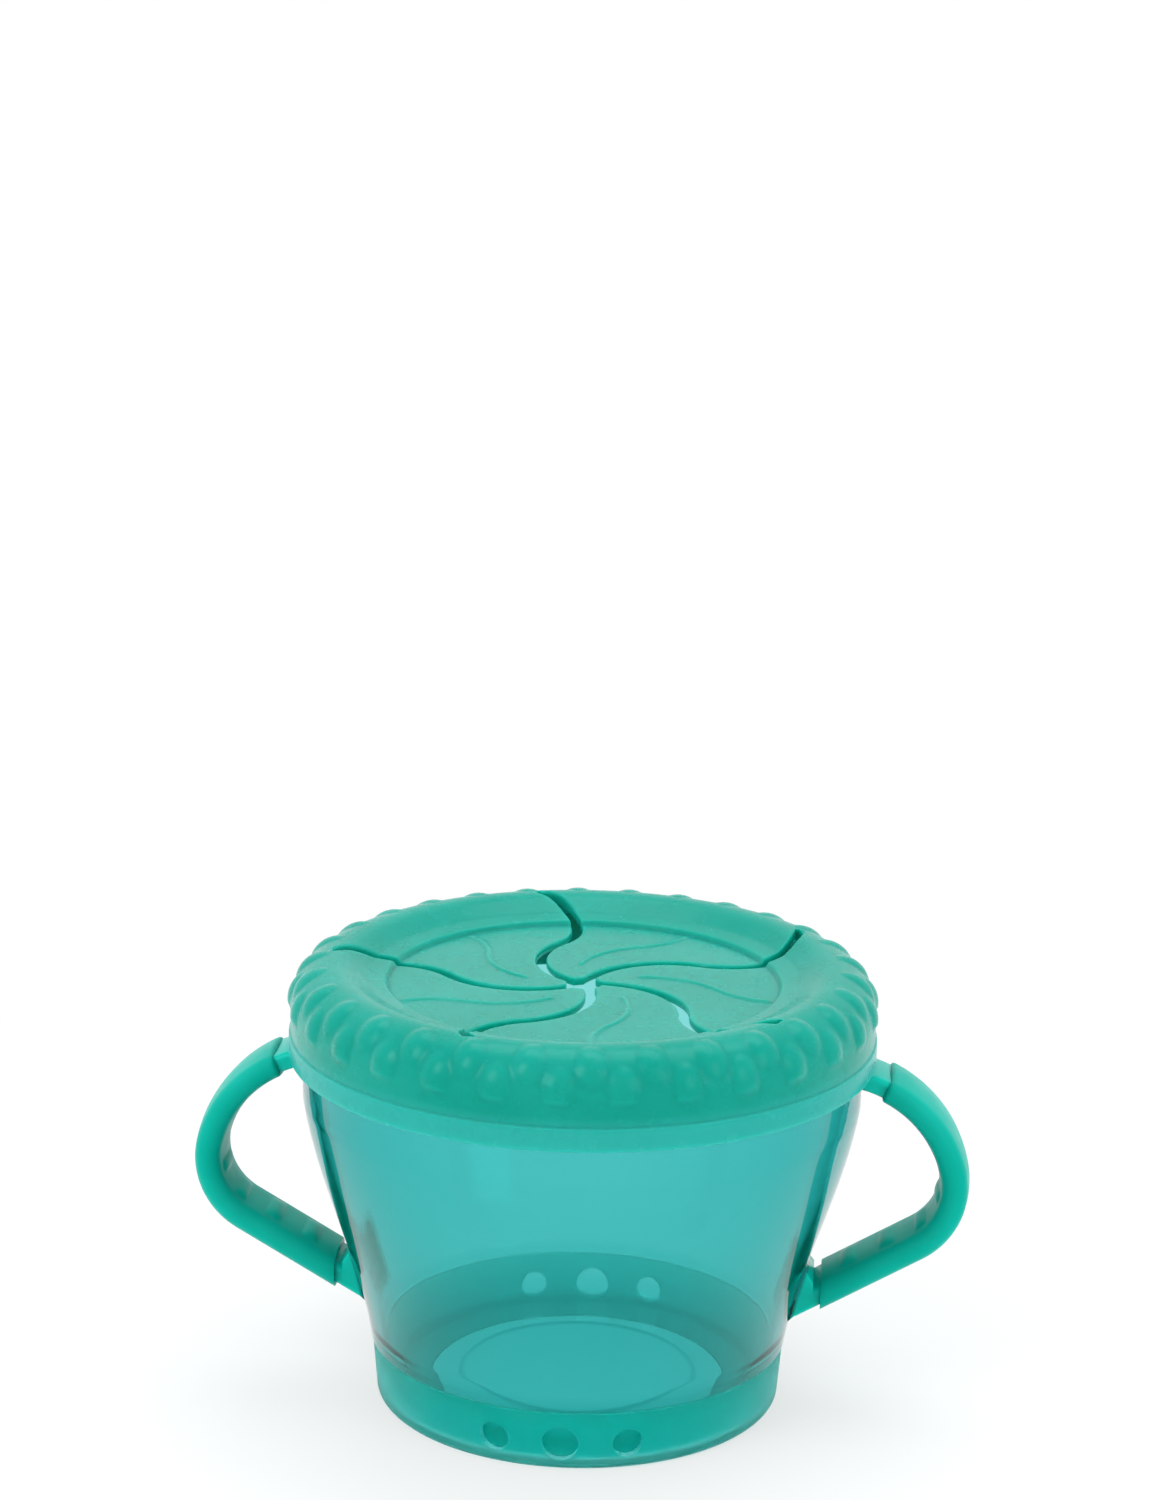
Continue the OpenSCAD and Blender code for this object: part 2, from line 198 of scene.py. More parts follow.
def arc(c, r, a0, a1, n, first=0):
    """Points on an arc, from the one numbered first."""
    return [np.array(c) + r * unit(a0 + (a1 - a0) * i / n) for i in range(first, n + 1)]


def smooth(t):
    """An S-curve from 0 to 1."""
    t = np.clip(t, 0, 1)
    return t * t * (3 - 2 * t)


def edge_drop(gap, radius):
    """How far a rounded edge falls back at a distance from where it begins."""
    near = np.clip(gap, 0, radius)
    return radius - np.sqrt(np.maximum(radius ** 2 - (radius - near) ** 2, 0))


def wall_r(z):
    """Outer radius of the cup's wall between the band and the collar."""
    u = min(max((z - BAND_H) / (COLLAR_Z - BAND_H), 0), 1)
    return WAIST_R + (COLLAR_R - WAIST_R) * (u + 3 * u * u - 2 * u ** 3) / 2


BOW_X = TURN_X - (BOW_R - TURN_R) * float(unit(TURN_START)[0])
BOW_Z = LID_LOW.z - NECK_DROP - math.sqrt(BOW_R ** 2 - (COLLAR_R - BOW_X) ** 2)
BOW_C = np.array([BOW_X, BOW_Z])
TURN_C = BOW_C + (BOW_R - TURN_R) * unit(TURN_START)
GRIP_START = math.degrees(math.acos((COLLAR_R + NECK_L - BOW_X) / BOW_R))
ARM_START = TURN_C + TURN_R * unit(ARM_SLOPE - 90)


def arm_z(x):
    """Height of the lower arm's middle at a distance x from the cup's axis."""
    return ARM_START[1] - (ARM_START[0] - x) * math.tan(math.radians(ARM_SLOPE))


IN_C = -SLIT_IN_R * unit(IN_START)
OUT_C = IN_C + (SLIT_IN_R + SLIT_OUT_R) * unit(IN_END)
OUT_C_D = float(np.hypot(*OUT_C))
TURN_OVER_R = float(np.hypot(*(IN_C + SLIT_IN_R * unit(IN_END))))


def slit_angle(r):
    """Polar angle, in radians, of a slit's middle line at the radius r."""
    r = np.asarray(r, float)
    inner = math.atan2(IN_C[1], IN_C[0]) + np.arccos(np.clip(r / 2 / SLIT_IN_R, -1, 1))
    cos_b = (r ** 2 + OUT_C_D ** 2 - SLIT_OUT_R ** 2) / (2 * np.maximum(r, 1) * OUT_C_D)
    outer = math.atan2(OUT_C[1], OUT_C[0]) - np.arccos(np.clip(cos_b, -1, 1))
    return np.where(r < TURN_OVER_R, inner, outer)


def slit_half_angle(r):
    """Half of a slit's width at the radius r, as an angle in radians, measured round the axis."""
    step = 0.01
    turn = r * (slit_angle(r + step) - slit_angle(r - step)) / (2 * step)
    return SLIT_W / 2 * np.sqrt(1 + turn ** 2) / r


def polar_line(radii, shift=0.0):
    """Points on a slit's middle line at these radii, turned on by a shift in degrees."""
    a = slit_angle(radii) + math.radians(shift)
    return np.stack([radii * np.cos(a), radii * np.sin(a)], 1)


def distance_to_line(points, line):
    """Distance of each point from the nearest point of a line's five copies."""
    batch = 20000
    best = np.full(len(points), 1e9)
    for k in range(SLITS):
        c, s = unit(k * SLIT_PITCH)
        turned = line @ np.array([[c, s], [-s, c]])
        for start in range(0, len(points), batch):
            part = slice(start, start + batch)
            gaps = points[part, None, :] - turned[None]
            near = np.sqrt((gaps ** 2).sum(2)).min(1)
            best[part] = np.minimum(best[part], near)
    return best


# ------------------------------------------------------------------ meshes


def new_object(name, verts_mm, faces, smooth_angle=35):
    """A mesh object with shared vertices merged, outward normals and smooth faces."""
    mesh = bpy.data.meshes.new(name)
    mesh.from_pydata([tuple(float(x) * MM for x in v) for v in verts_mm], [], faces)
    bm = bmesh.new()
    bm.from_mesh(mesh)
    bmesh.ops.remove_doubles(bm, verts=bm.verts, dist=1e-6)
    bmesh.ops.dissolve_degenerate(bm, edges=bm.edges, dist=1e-7)
    bmesh.ops.recalc_face_normals(bm, faces=bm.faces)
    bm.to_mesh(mesh)
    bm.free()
    obj = bpy.data.objects.new(name, mesh)
    bpy.context.scene.collection.objects.link(obj)
    shade(obj, smooth_angle)
    return obj


def shade(obj, angle):
    """Smooth faces, with edges sharper than an angle in degrees kept sharp."""
    obj.data.polygons.foreach_set("use_smooth", [True] * len(obj.data.polygons))
    obj.data.set_sharp_from_angle(angle=math.radians(angle))


def apply_modifiers(obj):
    """The object's mesh becomes what its modifiers make of it."""
    bpy.context.view_layer.update()
    graph = bpy.context.evaluated_depsgraph_get()
    mesh = bpy.data.meshes.new_from_object(obj.evaluated_get(graph))
    obj.modifiers.clear()
    obj.data = mesh


def boolean(obj, others, operation):
    """obj joined with, or cut by, the other objects, which are used up."""
    for other in others:
        modifier = obj.modifiers.new("join", "BOOLEAN")
        modifier.operation = operation
        modifier.solver = "EXACT"
        modifier.object = other
        apply_modifiers(obj)
        bpy.data.objects.remove(other)
    return obj


def bevel(obj, width_mm, angle):
    """Rounds the edges that are sharper than an angle in degrees."""
    modifier = obj.modifiers.new("edges", "BEVEL")
    modifier.width = width_mm * MM
    modifier.segments = 3
    modifier.limit_method = "ANGLE"
    modifier.angle_limit = math.radians(angle)
    modifier.use_clamp_overlap = True
    apply_modifiers(obj)


def spin(name, profile, closed):
    """A body of revolution: closed for a ring, or else from one point on the axis to another."""
    steps = ROUND_STEPS
    verts, faces, rings = [], [], []
    for r, z in profile:
        if r < 1e-9:
            rings.append([len(verts)] * steps)
            verts.append((0, 0, z))
            continue
        rings.append(list(range(len(verts), len(verts) + steps)))
        for i in range(steps):
            a = 2 * math.pi * i / steps
            verts.append((r * math.cos(a), r * math.sin(a), z))
    pairs = list(zip(rings, rings[1:])) + ([(rings[-1], rings[0])] if closed else [])
    for low, high in pairs:
        for i in range(steps):
            j = (i + 1) % steps
            face = list(dict.fromkeys([low[i], low[j], high[j], high[i]]))
            if len(face) > 2:
                faces.append(face)
    return new_object(name, verts, faces)


def sweep(name, rings):
    """A closed tube through rings of points, with a flat face at each end."""
    n = len(rings[0])
    verts = [p for ring in rings for p in ring]
    faces = [list(range(n))[::-1], list(range((len(rings) - 1) * n, len(rings) * n))]
    for k in range(len(rings) - 1):
        for i in range(n):
            j = (i + 1) % n
            faces.append([k * n + i, k * n + j, (k + 1) * n + j, (k + 1) * n + i])
    return new_object(name, verts, faces)


def prism(name, outline, width):
    """An outline in the XZ plane, drawn out along Y to a width."""
    rings = [[(x, y, z) for x, z in outline] for y in (-width / 2, width / 2)]
    return sweep(name, rings)


def finished(obj, material, body, nodes):
    """Gives a piece its material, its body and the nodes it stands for."""
    obj.data.materials.clear()
    obj.data.materials.append(material)
    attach(obj, body)
    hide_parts(*nodes)
    return obj


# ------------------------------------------------------------------ materials

CUP_TINT = (0.975, 1.000, 1.000)
CUP_TINT_WORN = (0.950, 0.990, 0.990)
CUP_LETS_IN = (0.970, 0.970, 0.970)
CUP_DEPTH_TEAL = (0.010, 0.765, 0.756, 1.0)
CUP_DENSITY = 780.0
SOFT_TEAL = (0.003, 0.410, 0.325)
SOFT_TEAL_WORN = (0.008, 0.460, 0.375)
BAND_TEAL = (0.010, 0.520, 0.450)
BAND_TEAL_WORN = (0.018, 0.560, 0.485)
BAND_CLEAR = (0.280, 0.950, 0.920)
# Painted light: a brighter teal for the band's inner faces, standing in for the light inside the
# cup
BAND_INSIDE_PAINTED_LIGHT = (0.020, 0.950, 0.900)
BAND_LETS_IN = (0.350, 0.850, 0.830)
LID_LETS_IN = (0.060, 0.450, 0.400)
GLOSS_TINT = (0.350, 1.000, 1.000, 1.0)
LID_GLOSS_TINT = (0.600, 1.000, 1.000, 1.0)
THICK_TEAL = (0.003, 0.540, 0.440)
LID_TEAL = (0.001, 0.310, 0.240)
LID_TEAL_PALE = (0.010, 0.370, 0.300)
# Painted light: a paler teal for the lip, standing in for light that passes through the thin rim
LIP_TEAL_PAINTED_LIGHT = (0.030, 0.420, 0.380)

# Share of the thick plastic's glow at a gusset's root and behind the windows
ROOT_GLOW = 0.85
WINDOW_GLOW = 0.45
# The middle of the cup's wall, as a range of depths below its outside, in metres
MID_WALL = (-WALL_T * 0.6 * MM, -WALL_T * 0.4 * MM)


class Nodes:
    """A small hand for building a material's node tree."""

    def __init__(self, name):
        self.material = bpy.data.materials.new(name)
        self.material.use_nodes = True
        self.tree = self.material.node_tree
        self.tree.nodes.clear()
        self.output = self.tree.nodes.new("ShaderNodeOutputMaterial")
        self.place = self.tree.nodes.new("ShaderNodeTexCoord").outputs["Object"]

    def add(self, kind, inputs=(), **settings):
        """A node, with each input linked to a socket or set to a value."""
        node = self.tree.nodes.new(kind)
        for key, value in settings.items():
            setattr(node, key, value)
        for key, value in dict(inputs).items():
            if isinstance(value, bpy.types.NodeSocket):
                self.tree.links.new(value, node.inputs[key])
            else:
                node.inputs[key].default_value = value
        return node

    def noise(self, scale, detail, roughness, stretch=None):
        vector = self.place
        if stretch:
            inputs = {"Vector": vector, "Scale": stretch}
            vector = self.add("ShaderNodeMapping", inputs).outputs["Vector"]
        inputs = {"Vector": vector, "Scale": scale, "Detail": detail, "Roughness": roughness}
        return self.add("ShaderNodeTexNoise", inputs).outputs["Fac"]

    def spread(self, value, low, high, to_low, to_high):
        """A value from low to high, mapped onto another range and held at its ends."""
        inputs = {"Value": value, "From Min": low, "From Max": high,
                  "To Min": to_low, "To Max": to_high}
        return self.add("ShaderNodeMapRange", inputs).outputs["Result"]

    def reach_and_height(self):
        """The distance from the cup's upright axis, and the height above the table."""
        parts = self.add("ShaderNodeSeparateXYZ", {"Vector": self.place}).outputs
        across = self.add("ShaderNodeCombineXYZ", {"X": parts["X"], "Y": parts["Y"]}).outputs[0]
        reach = self.add("ShaderNodeVectorMath", {0: across}, operation="LENGTH").outputs["Value"]
        return reach, parts["Z"]

    def math(self, operation, a, b):
        return self.add("ShaderNodeMath", {0: a, 1: b}, operation=operation).outputs[0]

    def mix_shader(self, factor, a, b):
        return self.add("ShaderNodeMixShader", {0: factor, 1: a, 2: b}).outputs["Shader"]

    def mix_color(self, factor, a, b):
        """A mix of two colours, each a socket or three numbers."""
        node = self.add("ShaderNodeMix", data_type="RGBA")
        for socket, value in zip((node.inputs[0], node.inputs[6], node.inputs[7]), (factor, a, b)):
            if isinstance(value, bpy.types.NodeSocket):
                self.tree.links.new(value, socket)
            else:
                socket.default_value = (*value, 1.0)
        return node.outputs[2]

    def principled(self, inputs):
        return self.add("ShaderNodeBsdfPrincipled", inputs).outputs["BSDF"]

    def transparent(self, color):
        return self.add("ShaderNodeBsdfTransparent", {"Color": (*color, 1.0)}).outputs["BSDF"]

    def let_light_in(self, shader, color):
        """The shader, which shadow and diffuse rays pass with a tint."""
        through = self.transparent(color)
        path = self.add("ShaderNodeLightPath").outputs
        for ray in ("Is Shadow Ray", "Is Diffuse Ray"):
            shader = self.mix_shader(path[ray], shader, through)
        return shader

    def bump(self, heights):
        """A chain of bumps, each (height, strength, distance in millimetres)."""
        normal = None
        for height, strength, distance in heights:
            inputs = {"Height": height, "Strength": strength, "Distance": distance * MM}
            if normal is not None:
                inputs["Normal"] = normal
            normal = self.add("ShaderNodeBump", inputs).outputs["Normal"]
        return normal

    def finish(self, shader):
        self.tree.links.new(shader, self.output.inputs["Surface"])
        return self.material


def cup_material():
    """Clear tinted plastic: its colour lies in its thickness, and necks and gussets glow."""
    n = Nodes("clear_plastic")
    flow = n.noise(55.0, 2.0, 0.4, stretch=(1.0, 1.0, 0.35))
    scuffs = n.noise(900.0, 4.0, 0.7, stretch=(0.25, 0.25, 1.0))
    tint = n.mix_color(n.spread(flow, 0.35, 0.65, 0.0, 1.0), CUP_TINT, CUP_TINT_WORN)
    rough = n.spread(scuffs, 0.45, 0.75, 0.02, 0.10)
    normal = n.bump([(flow, 0.10, 0.5), (scuffs, 0.02, 0.02)])
    body = n.principled({
        "Base Color": tint, "Roughness": rough, "Normal": normal, "IOR": 1.38,
        "Transmission Weight": 1.0, "Specular IOR Level": 0.18, "Specular Tint": GLOSS_TINT})
    thick = n.principled({
        "Base Color": (*THICK_TEAL, 1.0), "Roughness": 0.12, "IOR": 1.49,
        "Specular IOR Level": 0.2, "Specular Tint": GLOSS_TINT,
        "Subsurface Weight": 1.0, "Subsurface Radius": (0.2, 1.0, 0.85),
        "Subsurface Scale": 2.0 * MM})
    facing_out = n.math("SUBTRACT", 1.0, n.add("ShaderNodeNewGeometry").outputs["Backfacing"])
    bonded = bonded_wall(n)
    stands_out = n.math("MAXIMUM", outside_wall(n), bonded)
    glow = n.math("MAXIMUM", n.math("MULTIPLY", stands_out, facing_out), gusset_root(n))
    body = n.mix_shader(glow, body, thick)
    joined = n.transparent((1.0, 1.0, 1.0))
    see_through = n.math("SUBTRACT", 1.0, n.math("MULTIPLY", facing_out, WINDOW_GLOW))
    body = n.mix_shader(n.math("MULTIPLY", bonded, see_through), body, joined)
    lit = n.let_light_in(body, CUP_LETS_IN)
    depth = n.add("ShaderNodeVolumeAbsorption", {"Color": CUP_DEPTH_TEAL, "Density": CUP_DENSITY})
    n.tree.links.new(depth.outputs["Volume"], n.output.inputs["Volume"])
    return n.finish(lit)


def beyond_wall(n):
    """How far a point lies outside the cup's wall, and its height."""
    reach, height = n.reach_and_height()
    span = (height, BAND_H * MM, COLLAR_Z * MM, 0.0, (COLLAR_R - WAIST_R) / 2 * MM)
    curve = n.spread(*span)
    curve.node.interpolation_type = "SMOOTHSTEP"
    wall = n.math("ADD", n.math("ADD", n.spread(*span), curve), WAIST_R * MM)
    return n.math("SUBTRACT", reach, wall), height


def outside_wall(n):
    """A factor that rises to one where the plastic stands out from the cup's wall."""
    beyond, height = beyond_wall(n)
    out = n.spread(beyond, 0.15 * MM, 0.8 * MM, 0.0, 1.0)
    bead_z = RIM_Z - BEAD_H
    under_lid = n.spread(height, (bead_z - 2) * MM, (bead_z - 1) * MM, 1.0, 0.0)
    return n.math("MULTIPLY", out, under_lid)


def gusset_root(n):
    """A factor on the cup's inner wall where a thick gusset stands behind it."""
    beyond, height = beyond_wall(n)
    across = n.add("ShaderNodeSeparateXYZ", {"Vector": n.place}).outputs["Y"]
    aside = n.math("ABSOLUTE", across, 0.0)
    low_z = arm_z(GRIP_END_X) - GUSSET_DOWN
    top_z = arm_z(GRIP_END_X) + GUSSET_UP
    inner = n.spread(beyond, *MID_WALL, ROOT_GLOW, 0.0)
    wide = n.spread(aside, (CORE_W / 2 - 1) * MM, (CORE_W / 2 + 1) * MM, 1.0, 0.0)
    above = n.spread(height, low_z * MM, (low_z + 2) * MM, 0.0, 1.0)
    below = n.spread(height, (top_z - 2) * MM, (top_z + 1) * MM, 1.0, 0.0)
    return n.math("MULTIPLY", n.math("MULTIPLY", inner, wide), n.math("MULTIPLY", above, below))


def bonded_wall(n):
    """One where no air gap reflects: on the wall that the band is moulded onto, and underneath."""
    reach, height = n.reach_and_height()
    line = n.spread(height, 0.0, BAND_H * MM, (FOOT_R - BAND_T) * MM, (WAIST_R - BAND_T) * MM)
    beyond = n.math("SUBTRACT", reach, line)
    side = n.spread(beyond, *MID_WALL, 0.0, 1.0)
    ledge_z = BAND_H + LEDGE_ROUND
    below = n.spread(height, ledge_z * MM, (ledge_z + 0.1) * MM, 1.0, 0.0)
    mid_floor = [(CUP_LOW.z + FLOOR_T * share) * MM for share in (0.4, 0.6)]
    under = n.spread(height, *mid_floor, 1.0, 0.0)
    return n.math("MAXIMUM", n.math("MULTIPLY", side, below), under)


def soft_material(name, color, worn, roughness, depth_mm, clearness=0.0):
    """Soft satin overmould: a fine spark-eroded grain, slightly paler where it is rubbed.

    With some clearness it is the band's: partly see-through, and painted brighter on its inner
    faces, as painted light for the light that reaches the inside of the cup.
    """
    n = Nodes(name)
    grain = n.noise(2600.0, 2.0, 0.6)
    cloud = n.noise(70.0, 3.0, 0.5)
    rub = n.noise(260.0, 4.0, 0.65)
    base = n.mix_color(n.spread(cloud, 0.4, 0.7, 0.0, 0.6), color, worn)
    if clearness:
        # Painted light: the inner faces under the cup get a brighter teal that stands in for the
        # light reaching the inside of the cup
        reach, height = n.reach_and_height()
        within = n.spread(reach, (FOOT_R - 0.7) * MM, (FOOT_R - 0.3) * MM, 1.0, 0.0)
        off_table = n.spread(height, 0.3 * MM, 0.6 * MM, 0.0, 1.0)
        base = n.mix_color(n.math("MULTIPLY", within, off_table), base, BAND_INSIDE_PAINTED_LIGHT)
    rough = n.spread(rub, 0.3, 0.7, roughness - 0.06, roughness + 0.08)
    normal = n.bump([(grain, 0.12, 0.02), (cloud, 0.04, 0.2)])
    gloss = {"Specular IOR Level": 0.25, "Specular Tint": GLOSS_TINT}
    body = n.principled({
        "Base Color": base, "Roughness": rough, "Normal": normal, "IOR": 1.30,
        "Subsurface Weight": 1.0, "Subsurface Radius": (0.25, 1.0, 0.85),
        "Subsurface Scale": depth_mm * MM, **gloss})
    if clearness:
        through = n.principled({
            "Base Color": (*BAND_CLEAR, 1.0), "Roughness": 0.5, "Normal": normal, "IOR": 1.25,
            "Transmission Weight": 1.0, **gloss})
        body = n.let_light_in(n.mix_shader(clearness, body, through), BAND_LETS_IN)
    return n.finish(body)


def lid_material():
    """Soft translucent lid: light soaks in and comes out again, and the lip is painted paler, as
    painted light for the light that passes through its thin rim.
    """
    n = Nodes("soft_lid")
    cloud = n.noise(45.0, 3.0, 0.5)
    rub = n.noise(300.0, 3.0, 0.55)
    grain = n.noise(2600.0, 2.0, 0.6)
    height = n.add("ShaderNodeSeparateXYZ", {"Vector": n.place}).outputs["Z"]
    base = n.mix_color(n.spread(cloud, 0.38, 0.66, 0.0, 0.5), LID_TEAL, LID_TEAL_PALE)
    # Painted light: the lip is painted paler towards its lower edge, standing in for light that
    # passes through the thin rim
    lip_z = (EDGE_Z + LIP_H) * MM
    painted_lip_light = n.spread(height, lip_z - 1.0 * MM, lip_z + 1.5 * MM, 0.8, 0.0)
    base = n.mix_color(painted_lip_light, base, LIP_TEAL_PAINTED_LIGHT)
    rough = n.spread(rub, 0.3, 0.7, 0.20, 0.30)
    normal = n.bump([(grain, 0.04, 0.02)])
    body = n.principled({
        "Base Color": base, "Roughness": rough, "Normal": normal, "IOR": 1.42,
        "Subsurface Weight": 1.0, "Subsurface Radius": (0.3, 1.0, 0.85),
        "Subsurface Scale": 3.0 * MM,
        "Specular IOR Level": 0.25, "Specular Tint": LID_GLOSS_TINT})
    return n.finish(n.let_light_in(body, LID_LETS_IN))


# ------------------------------------------------------------------ cup


def cup_profile():
    """Half section of the cup: up the outside, over the rim and down the inside to the floor."""
    base_z = CUP_LOW.z
    floor_z = base_z + FLOOR_T
    foot = FOOT_R - BAND_T
    inner = foot - WALL_T
    bead_r = COLLAR_R + BEAD_OUT
    bore = COLLAR_R - WALL_T
    heights = np.linspace(BAND_H + 0.6, COLLAR_Z, 40)
    outside = [(0, base_z)]
    outside += arc((foot - CUP_FILLET, base_z + CUP_FILLET), CUP_FILLET, -90, 0, 6)
    outside += [(WAIST_R - BAND_T, BAND_H)]
    outside += arc((WAIST_R - LEDGE_ROUND, BAND_H + LEDGE_ROUND), LEDGE_ROUND, -90, 0, 4)
    outside += [(wall_r(z), z) for z in heights]
    outside += [(COLLAR_R, z) for z in np.linspace(COLLAR_Z, RIM_Z - BEAD_H - BEAD_OUT, 8)[1:]]
    outside += arc((bead_r - BEAD_ROUND, RIM_Z - BEAD_H + BEAD_ROUND), BEAD_ROUND, -45, 0, 3)
    outside += arc((bead_r - RIM_ROUND, RIM_Z - RIM_ROUND), RIM_ROUND, 0, 90, 6)
    inside = arc((bore + RIM_ROUND, RIM_Z - RIM_ROUND), RIM_ROUND, 90, 180, 6)
    inside += [(bore, z) for z in np.linspace(RIM_Z - 1.5, COLLAR_Z, 6)]
    inside += [(wall_r(z) - WALL_T, z) for z in heights[::-1] if z > BAND_H + 2]
    inside += arc((inner - INNER_CORNER, floor_z + INNER_CORNER), INNER_CORNER, 0, -90, 8)
    inside += floor_ring(floor_z) + [(0, floor_z)]
    return outside + inside


def floor_ring(floor_z):
    """The low rounded ring embossed in the cup's floor, from its outside inwards."""
    steps = 12
    ring = []
    for i in range(steps + 1):
        t = i / steps
        rise = FLOOR_RING_UP * float(smooth(2 * min(t, 1 - t)))
        ring.append((FLOOR_RING_R + FLOOR_RING_W * (0.5 - t), floor_z + rise))
    return ring


def rounded_section(thickness, width, radius, steps=5):
    """Points (across the loop, along Y) round a bar with rounded edges."""
    points = []
    for i, (sx, sy) in enumerate(((1, 1), (-1, 1), (-1, -1), (1, -1))):
        c = (sx * (thickness / 2 - radius), sy * (width / 2 - radius))
        points += arc(c, radius, i * 90, i * 90 + 90, steps)
    return points


def handle_path(start_angle, end_x, bow_steps=40, turn_steps=40, arm_steps=24):
    """The loop's middle line, from the top to the arm's end, as (point, its outward angle)."""
    low = ARM_SLOPE - 90
    bow = np.linspace(start_angle, TURN_START, bow_steps)
    turn = np.linspace(TURN_START, low, turn_steps)[1:]
    arm = np.linspace(ARM_START[0], end_x, arm_steps)[1:]
    path = [(BOW_C + BOW_R * unit(a), a) for a in bow]
    path += [(TURN_C + TURN_R * unit(a), a) for a in turn]
    return path + [(np.array([x, arm_z(x)]), low) for x in arm]


def ring_on_path(point, angle, section):
    """A section's points round the loop's middle line, square to it."""
    c, s = unit(angle)
    return [(point[0] + across * c, y, point[1] + across * s) for across, y in section]


def handle_core(name, mirrored):
    """The bar inside the grip, from inside the collar's wall to inside the lower wall."""
    section = rounded_section(CORE_T, CORE_W, CORE_EDGE)
    neck_x = COLLAR_R - WALL_T / 2
    neck_angle = math.degrees(math.acos((neck_x - BOW_C[0]) / BOW_R))
    end_x = wall_r(arm_z(WAIST_R)) - WALL_T / 2
    rings = [ring_on_path(p, a, section) for p, a in handle_path(neck_angle, end_x)]
    rings[-1] = [(end_x, y, z) for _, y, z in rings[-1]]
    if mirrored:
        rings = [[(-x, y, z) for x, y, z in ring] for ring in rings]
    return sweep(name, rings)


def gusset(name, mirrored):
    """The flare that carries the lower arm down the wall."""
    face_x = GRIP_END_X - GUSSET_BACK
    mid_z = arm_z(GRIP_END_X)
    rise = GRIP_T / 2 / math.cos(math.radians(ARM_SLOPE)) - GUSSET_STEP
    top_z = mid_z + GUSSET_UP
    low_z = mid_z - GUSSET_DOWN
    depth = WALL_T / 2
    low, top = [(wall_r(z) - depth, z) for z in (low_z, top_z)]
    face = [(face_x, mid_z - rise), (face_x, mid_z + rise)]
    outline = [low] + flare(low, face[0], GUSSET_SAG_LOW) + face
    outline += flare(face[1], top, GUSSET_SAG_TOP) + [top]
    outline += [(wall_r(z) - depth, z) for z in np.linspace(top_z, low_z, 8)[1:-1]]
    side = -1 if mirrored else 1
    piece = prism(name, [(side * x, z) for x, z in outline], CORE_W)
    bevel(piece, GUSSET_EDGE, 50)
    return piece


def flare(start, end, sag, steps=8):
    """Points between two ends, bowed towards the cup by a sag in millimetres."""
    points = []
    for i in range(1, steps):
        t = i / steps
        bow = sag * math.sin(math.pi * t)
        x, z = (a + (b - a) * t for a, b in zip(start, end))
        points.append((x - abs(bow), z + bow))
    return points


def build_cup(material):
    """The cup with both handle cores and gussets, joined into one shell."""
    shell = spin("cup_shell", cup_profile(), closed=False)
    parts = []
    for mirrored, side in ((False, "right"), (True, "left")):
        parts += [handle_core(f"core_{side}", mirrored), gusset(f"gusset_{side}", mirrored)]
    boolean(shell, parts, "UNION")
    shade(shell, 30)
    return finished(shell, material, "cup", ["cup"])


# ------------------------------------------------------------------ base band


def build_band(material):
    """The soft band round the foot, turned in under the cup, with its six windows."""
    in_low = FOOT_R - BAND_T + BOND_GAP
    in_top = WAIST_R - BAND_T + BOND_GAP
    lip_in = FOOT_R - BAND_LIP_W
    top = BAND_HIGH.z
    side_top = top - 0.45
    profile = [(lip_in + BAND_LIP_EDGE, 0), (lip_in + 1.5, 0)]
    profile += arc((FOOT_R - BAND_FILLET, BAND_FILLET), BAND_FILLET, -90, 0, 8)
    profile += [(FOOT_R + (BAND_HIGH.x - FOOT_R) * t, BAND_FILLET + (side_top - BAND_FILLET) * t)
                for t in (0.25, 0.5, 0.75)]
    profile += arc((BAND_HIGH.x - BAND_TOP_ROUND, top - BAND_TOP_ROUND), BAND_TOP_ROUND, 0, 90, 5)
    profile += [(in_top, top)]
    profile += arc((in_low - CUP_FILLET, BAND_FOOT_T + CUP_FILLET), CUP_FILLET, 0, -90, 6)
    profile += [(lip_in, BAND_FOOT_T), (lip_in, BAND_LIP_EDGE)]
    band = spin("soft_band", profile, closed=True)
    cutters = [window_cutter(side + i * WINDOW_PITCH, size)
               for side in (0, 180) for i, size in zip((-1, 0, 1), WINDOW_SIZES)]
    boolean(band, cutters, "DIFFERENCE")
    bevel(band, BAND_EDGE, 60)
    shade(band, 40)
    return finished(band, material, "cup", ["base_band"])


def window_cutter(angle, size):
    """A round plug across the band's wall, at an angle from the front."""
    c, s = unit(angle - 90)
    circle = arc((0, 0), size / 2, 0, 360, 48)[:-1]
    rings = [[(reach * c - x * s, reach * s + x * c, WINDOW_Z + z) for x, z in circle]
             for reach in (FOOT_R - WINDOW_REACH, FOOT_R + WINDOW_REACH)]
    return sweep("window", rings)


# ------------------------------------------------------------------ grips

GRIP_STEPS = 60
GRIP_END_ROUND = 0.7
GRIP_EDGE = 0.35
CROWN = 0.3
PAD_PITCH = 7.0
PAD_COUNT = 4
PAD_UP = 0.45
PAD_HALF_W = 3.6
PAD_HALF_L = 1.5
LAST_PAD = 6.5


def grip_thickness(angle):
    """The sleeve's thickness, which grows along the bow from the top to the turn."""
    t = (GRIP_START - angle) / (GRIP_START - TURN_START)
    return GRIP_TOP_T + (GRIP_T - GRIP_TOP_T) * float(smooth(np.array(t)))


